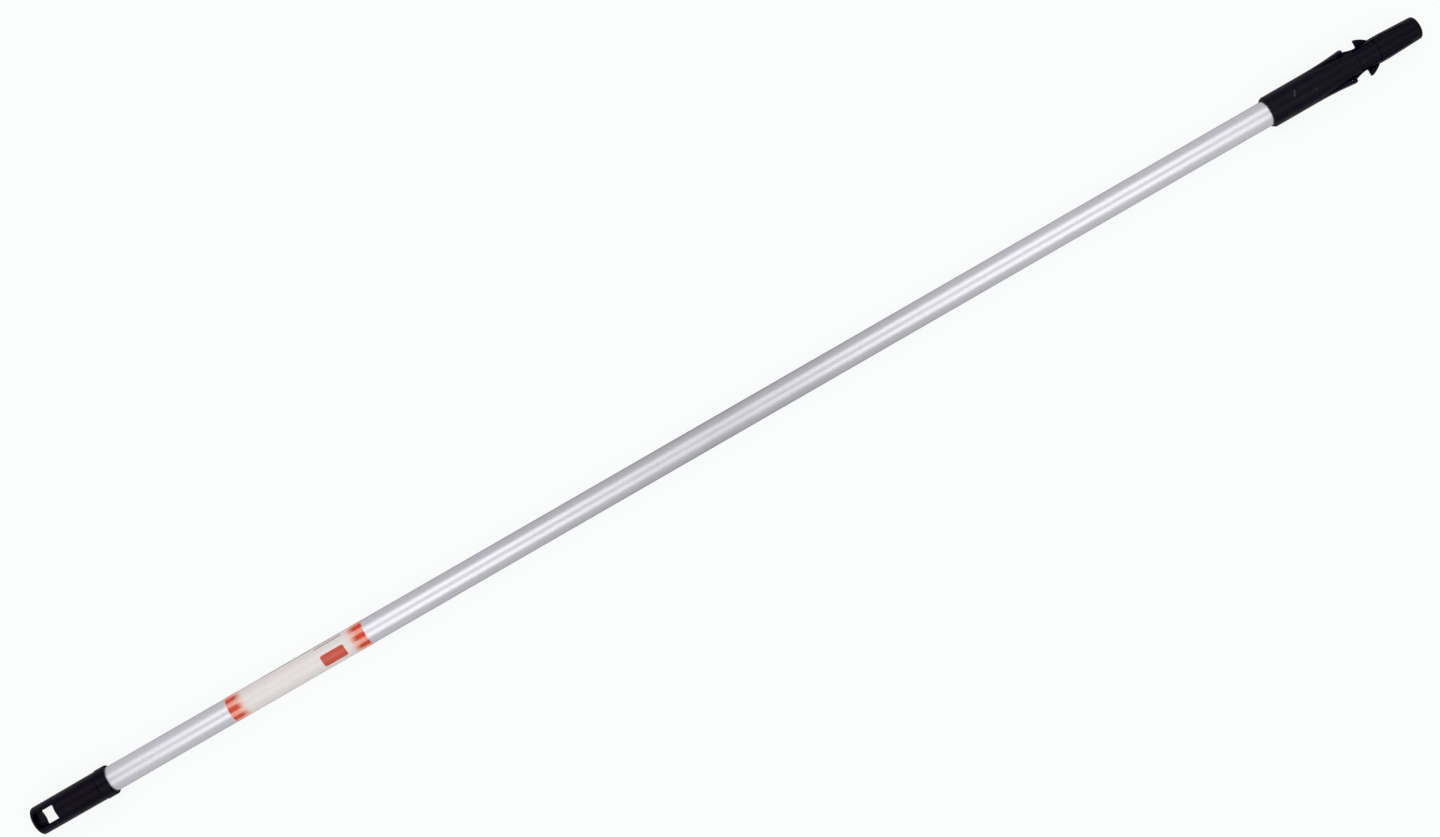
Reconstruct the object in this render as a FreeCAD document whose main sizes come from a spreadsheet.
import FreeCAD, Part
import math
import os
import Sketcher

# Roller extension pole: a straight aluminium tube with a hanging cap on one end and a quick-release
# adapter on the other. The pole lies along X on the ground plane Z = 0, its middle over the origin.
# +X points to the plug that carries the roller; the barbs and finger tabs stand out along +Y and -Y.
#
# Each sub-part is drawn in its own frame, with X along the pole's axis:
#   the tube and the label from their cap-side end, the cap from its closed end,
#   and everything in the adapter from the sleeve's mouth.

SIZES = {
    # whole pole
    "overall_length": 1500.0,
    "axis_height": 15.5,
    # tube and printed film
    "tube_radius": 12.5,
    "tube_wall": 1.0,
    "film_thickness": 0.08,
    "film_length": 147.0,
    "film_start": 211.2,
    "film_clearance": 0.03,
    # hanging cap
    "cap_length": 80.2,
    "cap_end_radius": 14.1,
    "cap_body_radius": 14.4,
    "cap_bead_radius": 15.0,
    "cap_bead_length": 11.0,
    "cap_bead_step": 0.7,
    "cap_socket_depth": 50.0,
    "cap_end_round": 1.6,
    "cap_mouth_round": 1.2,
    "hang_hole_start": 3.0,
    "hang_hole_length": 20.7,
    "hang_hole_width": 14.1,
    "hang_hole_corner": 1.2,
    "hang_hole_edge": 0.7,
    # adapter sleeve
    "adapter_length": 162.6,
    "socket_clearance": 0.05,
    "sleeve_radius": 15.5,
    "sleeve_mouth_radius": 14.1,
    "sleeve_mouth_chamfer": 2.3,
    "sleeve_nose_radius": 13.1,
    "sleeve_nose_end": 95.6,
    "sleeve_edge_round": 0.6,
    "sleeve_socket_depth": 43.6,
    "sleeve_bore_radius": 12.0,
    "tab_window_start": 48.6,
    "tab_window_half": 7.0,
    # finger tabs
    "tab_gap": 0.2,
    "tab_half_width": 6.5,
    "tab_end": 87.9,
    "tab_end_radius": 17.8,
    "tab_flare_radius": 326.0,
    "tab_root_inner": 12.3,
    "tab_belly_inner": 11.2,
    "tab_relief_start": 82.0,
    "tab_relief_inner": 13.45,
    "tab_end_inner": 14.05,
    "tab_edge_round": 0.5,
    # plug core
    "spigot_radius": 11.45,
    "spigot_bore_radius": 8.8,
    "spigot_start": 13.6,
    "core_radius": 11.95,
    "channel_end": 148.6,
    "channel_half": 8.2,
    "web_half": 1.5,
    "plug_relief_radius": 12.6,
    "plug_radius": 12.8,
    "plug_land_end": 127.0,
    "plug_tip_radius": 11.33,
    "plug_tip_round": 1.8,
    # latch arms
    "arm_half_width": 6.15,
    "strip_half_width": 7.0,
    "arm_root_gap": 0.2,
    "arm_inner": 8.3,
    "arm_tail_start": 83.0,
    "arm_tail_inner": 11.2,
    "arm_tail_outer": 13.15,
    "arm_tail_crest": 13.7,
    "arm_lip_start": 88.4,
    "arm_lip_end": 89.2,
    "arm_lip": 14.2,
    "neck_middle": 95.6,
    "neck_middle_outer": 12.3,
    "neck_end_outer": 11.8,
    "barb_half_width": 2.2,
    "barb_back": 103.9,
    "barb_back_top": 18.7,
    "barb_tip": 104.4,
    "barb_tip_height": 19.0,
    "barb_ramp_middle": 110.0,
    "barb_ramp_middle_height": 16.6,
    "barb_ramp_end": 117.1,
    "barb_ramp_foot": 10.9,
    "barb_edge_round": 0.4,
    # clear of every solid, for cutters that only have to reach past the surface
    "cutter_reach": 22.0,
}

# A cell beside the table of sizes, used to work out formulas.
SPARE_CELL = "D1"


def make_sheet(doc):
    """Put every driving dimension in the spreadsheet, one aliased row each."""
    sheet = doc.addObject("Spreadsheet::Sheet", "Sizes")
    for row, (alias, value) in enumerate(SIZES.items(), start=1):
        sheet.set("A%d" % row, alias.replace("_", " "))
        sheet.set("B%d" % row, str(value))
        sheet.setAlias("B%d" % row, alias)
    doc.recompute()
    return sheet


def bound(text):
    """Turn size names in a formula into spreadsheet references."""
    words = []
    word = ""
    for letter in text + " ":
        if letter.isalnum() or letter == "_":
            word += letter
            continue
        words.append("Sizes." + word if word in SIZES else word)
        words.append(letter)
        word = ""
    return "".join(words).strip()


def number(text):
    """The value that a formula of size names has now, worked out by the sheet's spare cell."""
    sheet = FreeCAD.ActiveDocument.Sizes
    sheet.set(SPARE_CELL, "=" + bound(text).replace("Sizes.", ""))
    sheet.recompute()
    return float(sheet.get(SPARE_CELL))


def origin_plane(body, role):
    """One of the body's own origin planes, such as XY_Plane."""
    for feature in body.Origin.OriginFeatures:
        if feature.Role == role:
            return feature
    raise ValueError("no origin plane " + role)


def new_body(doc, name, station, turned=False):
    """A body placed at a station along the pole; turned puts a left-hand piece on the right."""
    body = doc.addObject("PartDesign::Body", name)
    body.Label = name
    angle = 180.0 if turned else 0.0
    body.Placement = FreeCAD.Placement(
        FreeCAD.Vector(number(station), 0, number("axis_height")),
        FreeCAD.Rotation(FreeCAD.Vector(1, 0, 0), angle),
    )
    body.setExpression("Placement.Base.x", bound(station))
    body.setExpression("Placement.Base.z", bound("axis_height"))
    return body


def outline(body, name, corners, role="XY_Plane", arcs=None):
    """A closed sketch through corners, given as pairs of formulas.

    arcs maps a side's number (the side that starts at that corner) to the formulas of a point
    that the side bulges through; every other side is straight. Each corner is held by its two
    distances from the body's axis and end, so the sheet drives the whole outline.
    """
    arcs = arcs or {}
    sketch = body.newObject("Sketcher::SketchObject", name)
    sketch.AttachmentSupport = (origin_plane(body, role), [""])
    sketch.MapMode = "FlatFace"
    points = [FreeCAD.Vector(number(along), number(across), 0) for along, across in corners]
    starts = []
    ends = []
    count = len(points)
    for side in range(count):
        first = points[side]
        last = points[(side + 1) % count]
        if side in arcs:
            middle = FreeCAD.Vector(number(arcs[side][0]), number(arcs[side][1]), 0)
            curve = Part.Arc(first, middle, last)
            geometry = sketch.addGeometry(curve, False)
            backwards = sketch.getPoint(geometry, 1).distanceToPoint(first) > 1e-6
            starts.append((geometry, 2 if backwards else 1))
            ends.append((geometry, 1 if backwards else 2))
        else:
            geometry = sketch.addGeometry(Part.LineSegment(first, last), False)
            starts.append((geometry, 1))
            ends.append((geometry, 2))
    for side in range(count):
        following = (side + 1) % count
        sketch.addConstraint(Sketcher.Constraint("Coincident", *ends[side], *starts[following]))
    for side, (along, across) in enumerate(corners):
        hold(sketch, "DistanceX", starts[side], along)
        hold(sketch, "DistanceY", starts[side], across)
    for side, (along, across) in arcs.items():
        place = FreeCAD.Vector(number(along), number(across), 0)
        through = sketch.addGeometry(Part.Point(place), True)
        hold(sketch, "DistanceX", (through, 1), along)
        hold(sketch, "DistanceY", (through, 1), across)
        curve = starts[side][0]
        sketch.addConstraint(Sketcher.Constraint("PointOnObject", through, 1, curve))
    return sketch


def hold(sketch, kind, vertex, formula):
    """Fix a vertex's distance from the sketch origin and bind it to the sheet."""
    value = number(formula)
    if abs(value) < 1e-9:
        axis = -2 if kind == "DistanceX" else -1
        sketch.addConstraint(Sketcher.Constraint("PointOnObject", *vertex, axis))
        return
    index = sketch.addConstraint(Sketcher.Constraint(kind, -1, 1, *vertex, value))
    sketch.setExpression("Constraints[%d]" % index, bound(formula))


def rectangle(along_low, along_high, across_low, across_high):
    """The four corners of a box outline, as formulas."""
    return [
        (along_low, across_low),
        (along_high, across_low),
        (along_high, across_high),
        (along_low, across_high),
    ]


def revolve(body, sketch, name):
    feature = body.newObject("PartDesign::Revolution", name)
    feature.Profile = sketch
    feature.ReferenceAxis = (sketch, ["H_Axis"])
    feature.Angle = 360.0
    return feature


def turn_down(body, sketch, name):
    """A groove right round the pole's axis."""
    feature = body.newObject("PartDesign::Groove", name)
    feature.Profile = sketch
    feature.ReferenceAxis = (sketch, ["H_Axis"])
    feature.Angle = 360.0
    return feature


def pad(body, sketch, name, half_width):
    """Pad a side profile equally to both sides of its plane."""
    feature = body.newObject("PartDesign::Pad", name)
    feature.Profile = sketch
    feature.Midplane = True
    feature.setExpression("Length", "2 * " + bound(half_width))
    return feature


def pocket(body, sketch, name, half_width):
    """Cut a profile equally to both sides of its plane."""
    feature = body.newObject("PartDesign::Pocket", name)
    feature.Profile = sketch
    feature.Midplane = True
    feature.setExpression("Length", "2 * (" + bound(half_width) + ")")
    return feature


def near(value, formula):
    """Whether a coordinate is the value of a formula of size names."""
    return abs(value - number(formula)) < 1e-4


def round_edges(doc, body, base, name, radius, test):
    """Fillet the edges of base whose end points, given as a list, pass the test."""
    doc.recompute()
    chosen = []
    for index, edge in enumerate(base.Shape.Edges, start=1):
        if test([vertex.Point for vertex in edge.Vertexes]):
            chosen.append("Edge%d" % index)
    feature = body.newObject("PartDesign::Fillet", name)
    feature.Base = (base, chosen)
    feature.setExpression("Radius", bound(radius))
    return feature


def make_pole_tube(doc):
    body = new_body(doc, "pole_tube", "cap_length - cap_socket_depth - overall_length / 2")
    length = (
        "overall_length - adapter_length + sleeve_socket_depth"
        " - cap_length + cap_socket_depth"
    )
    sketch = outline(
        body, "tube_section", rectangle("0", length, "tube_radius - tube_wall", "tube_radius")
    )
    revolve(body, sketch, "tube")
    return body


def make_label_wrap(doc):
    body = new_body(doc, "label_wrap", "film_start - overall_length / 2")
    inner = "tube_radius + film_clearance"
    sketch = outline(
        body, "film_section", rectangle("0", "film_length", inner, inner + " + film_thickness")
    )
    revolve(body, sketch, "film")
    return body


def make_hanging_cap(doc):
    body = new_body(doc, "hanging_cap", "-overall_length / 2")
    bead_start = "cap_length - cap_bead_length"
    socket = "tube_radius + socket_clearance"
    corners = [
        ("0", "0"),
        ("0", "cap_end_radius"),
        (bead_start, "cap_body_radius"),
        (bead_start + " + cap_bead_step", "cap_bead_radius"),
        ("cap_length", "cap_bead_radius"),
        ("cap_length", socket),
        ("cap_length - cap_socket_depth", socket),
        ("cap_length - cap_socket_depth", "0"),
    ]
    shell = revolve(body, outline(body, "cap_section", corners), "cap_shell")
    hole_end = "hang_hole_start + hang_hole_length"
    hole = outline(
        body,
        "hang_hole_outline",
        rectangle("hang_hole_start", hole_end, "-hang_hole_width / 2", "hang_hole_width / 2"),
    )
    cut = pocket(body, hole, "hang_hole", "cap_bead_radius + 1")

    def upright_in_hole(ends):
        across = all(near(abs(end.y), "hang_hole_width / 2") for end in ends)
        along = all(near(end.x, "hang_hole_start") or near(end.x, hole_end) for end in ends)
        return across and along and ends[0].z * ends[-1].z < 0

    corners_cut = round_edges(
        doc, body, cut, "hang_hole_corners", "hang_hole_corner", upright_in_hole
    )

    def on_hole_rim(ends):
        same_side = ends[0].z * ends[-1].z > 0
        inside = all(
            number("hang_hole_start") - 1e-4 < end.x < number(hole_end) + 1e-4
            and abs(end.y) < number("hang_hole_width / 2") + 1e-4
            for end in ends
        )
        return inside and same_side and len(ends) == 2

    rim = round_edges(doc, body, corners_cut, "hang_hole_rim", "hang_hole_edge", on_hole_rim)
    end = round_edges(
        doc,
        body,
        rim,
        "closed_end_round",
        "cap_end_round",
        lambda ends: all(near(end.x, "0") for end in ends),
    )
    round_edges(
        doc,
        body,
        end,
        "mouth_round",
        "cap_mouth_round",
        lambda ends: all(
            near(end.x, "cap_length") and near(math.hypot(end.y, end.z), "cap_bead_radius")
            for end in ends
        ),
    )
    return body


def make_adapter_sleeve(doc):
    body = new_body(doc, "adapter_sleeve", "overall_length / 2 - adapter_length")
    socket = "tube_radius + socket_clearance"
    corners = [
        ("0", socket),
        ("0", "sleeve_mouth_radius"),
        ("sleeve_mouth_chamfer", "sleeve_radius"),
        ("tab_window_start", "sleeve_radius"),
        ("sleeve_nose_end", "sleeve_nose_radius"),
        ("sleeve_nose_end", "sleeve_bore_radius"),
        ("sleeve_socket_depth", "sleeve_bore_radius"),
        ("sleeve_socket_depth", socket),
    ]
    shell = revolve(body, outline(body, "sleeve_section", corners), "sleeve_shell")

    def on_outer_rim(ends):
        rims = (
            ("0", "sleeve_mouth_radius"),
            ("sleeve_mouth_chamfer", "sleeve_radius"),
            ("sleeve_nose_end", "sleeve_nose_radius"),
        )
        distance = math.hypot(ends[0].y, ends[0].z)
        on_rim = any(
            near(ends[0].x, station) and near(distance, radius) for station, radius in rims
        )
        return on_rim and len(ends) == 1

    round_edges(doc, body, shell, "sleeve_rims", "sleeve_edge_round", on_outer_rim)
    window = outline(
        body,
        "tab_window_outline",
        rectangle("tab_window_start", "sleeve_nose_end + 1", "-cutter_reach", "cutter_reach"),
    )
    pocket(body, window, "tab_windows", "tab_window_half")
    return body


def make_finger_tab(doc, side, turned):
    body = new_body(doc, "finger_tab_" + side, "overall_length / 2 - adapter_length", turned)
    root = "tab_window_start + tab_gap"
    profile = outline(
        body,
        "tab_profile",
        [
            (root, "tab_root_inner"),
            ("tab_relief_start", "tab_belly_inner"),
            ("tab_relief_start", "tab_relief_inner"),
            ("tab_end", "tab_end_inner"),
            ("tab_end", "cutter_reach"),
            (root, "cutter_reach"),
        ],
    )
    pad(body, profile, "tab_blank", "tab_half_width")
    half_run = "(tab_end - tab_window_start) / 2"
    flare_middle = "sleeve_radius + (%s) ^ 2 / (2 * tab_flare_radius)" % half_run
    flare = outline(
        body,
        "flare_profile",
        [
            ("tab_window_start - 1", "sleeve_radius"),
            ("tab_window_start", "sleeve_radius"),
            ("tab_end + 0.001", "tab_end_radius"),
            ("tab_end + 0.001", "2 * cutter_reach"),
            ("tab_window_start - 1", "2 * cutter_reach"),
        ],
        arcs={1: ("tab_window_start + " + half_run, flare_middle)},
    )
    blank = turn_down(body, flare, "flare")

    def on_outer_edge(ends):
        return all(
            (near(end.x, "tab_end") or near(abs(end.z), "tab_half_width"))
            and end.y > number("tab_end_inner")
            for end in ends
        )

    round_edges(doc, body, blank, "tab_edges", "tab_edge_round", on_outer_edge)
    return body


def make_plug_core(doc):
    body = new_body(doc, "plug_core", "overall_length / 2 - adapter_length")
    corners = [
        ("spigot_start", "spigot_bore_radius"),
        ("spigot_start", "spigot_radius"),
        ("sleeve_socket_depth", "spigot_radius"),
        ("sleeve_socket_depth", "core_radius"),
        ("sleeve_nose_end + 0.1", "core_radius"),
        ("sleeve_nose_end + 0.1", "plug_relief_radius"),
        ("barb_ramp_end", "plug_relief_radius"),
        ("barb_ramp_end", "plug_radius"),
        ("plug_land_end", "plug_radius"),
        ("adapter_length", "plug_tip_radius"),
        ("adapter_length", "0"),
        ("sleeve_socket_depth - 2", "0"),
        ("sleeve_socket_depth - 2", "spigot_bore_radius"),
    ]
    blank = revolve(body, outline(body, "core_section", corners), "core_blank")
    tip = round_edges(
        doc,
        body,
        blank,
        "tip_round",
        "plug_tip_round",
        lambda ends: all(near(end.x, "adapter_length") for end in ends),
    )
    for side, sign in (("left", ""), ("right", "-")):
        channel = outline(
            body,
            side + "_channel_outline",
            rectangle("tab_window_start", "channel_end", sign + "web_half", sign + "cutter_reach"),
        )
        pocket(body, channel, side + "_channel", "channel_half")
    return body


def make_latch_arm(doc, side, turned):
    body = new_body(doc, "latch_arm_" + side, "overall_length / 2 - adapter_length", turned)
    root = "channel_end - arm_root_gap"
    strip = outline(
        body, "strip_profile", rectangle("barb_back", root, "arm_inner", "plug_radius + 1")
    )
    pad(body, strip, "strip_blank", "strip_half_width")
    turned_outline = outline(
        body,
        "strip_outer_profile",
        [
            ("barb_back - 1", "plug_relief_radius"),
            ("barb_ramp_end", "plug_relief_radius"),
            ("barb_ramp_end", "plug_radius"),
            ("plug_land_end", "plug_radius"),
            ("adapter_length", "plug_tip_radius"),
            ("adapter_length", "cutter_reach"),
            ("barb_back - 1", "cutter_reach"),
        ],
    )
    turn_down(body, turned_outline, "strip_outer")
    arm = outline(
        body,
        "arm_profile",
        [
            ("arm_tail_start", "arm_tail_inner"),
            ("barb_back", "arm_inner"),
            ("barb_back + 1", "arm_inner"),
            ("barb_back + 1", "neck_end_outer"),
            ("barb_back", "neck_end_outer"),
            ("arm_lip_end", "arm_lip"),
            ("arm_lip_start", "arm_lip"),
            ("arm_lip_start", "arm_tail_crest"),
            ("arm_tail_start", "arm_tail_outer"),
        ],
        arcs={4: ("neck_middle", "neck_middle_outer")},
    )
    pad(body, arm, "arm", "arm_half_width")
    barb = outline(
        body,
        "barb_profile",
        [
            ("barb_back", "barb_ramp_foot"),
            ("barb_ramp_end", "barb_ramp_foot"),
            ("barb_tip", "barb_tip_height"),
            ("barb_back", "barb_back_top"),
        ],
        arcs={1: ("barb_ramp_middle", "barb_ramp_middle_height")},
    )
    blank = pad(body, barb, "barb", "barb_half_width")

    def on_barb_top(ends):
        return any(end.y > number("barb_back_top") - 1e-4 for end in ends)

    round_edges(doc, body, blank, "barb_edges", "barb_edge_round", on_barb_top)
    return body


def check(doc, parts):
    """Stop if anything failed to rebuild or any sub-part isn't one valid solid."""
    for item in doc.Objects:
        if "Invalid" in item.State or "Error" in item.State:
            raise RuntimeError("failed to rebuild: " + item.Name)
    for body in parts:
        shape = body.Shape
        if shape.isNull() or not shape.isValid() or len(shape.Solids) != 1:
            raise RuntimeError("not one valid solid: " + body.Label)


def main():
    doc = FreeCAD.newDocument("roller_extension_pole")
    make_sheet(doc)
    parts = [
        make_pole_tube(doc),
        make_label_wrap(doc),
        make_hanging_cap(doc),
        make_adapter_sleeve(doc),
        make_plug_core(doc),
    ]
    for side, turned in (("left", False), ("right", True)):
        parts.append(make_finger_tab(doc, side, turned))
        parts.append(make_latch_arm(doc, side, turned))
    doc.recompute()
    check(doc, parts)
    os.makedirs("parts", exist_ok=True)
    for body in parts:
        body.Shape.exportStep("parts/%s.step" % body.Label)
        box = body.Shape.optimalBoundingBox()
        print("%-18s volume %9.1f mm3  x %8.2f to %8.2f  y %7.2f to %7.2f  z %6.2f to %6.2f" % (
            body.Label, body.Shape.Volume, box.XMin, box.XMax, box.YMin, box.YMax, box.ZMin, box.ZMax
        ))


main()
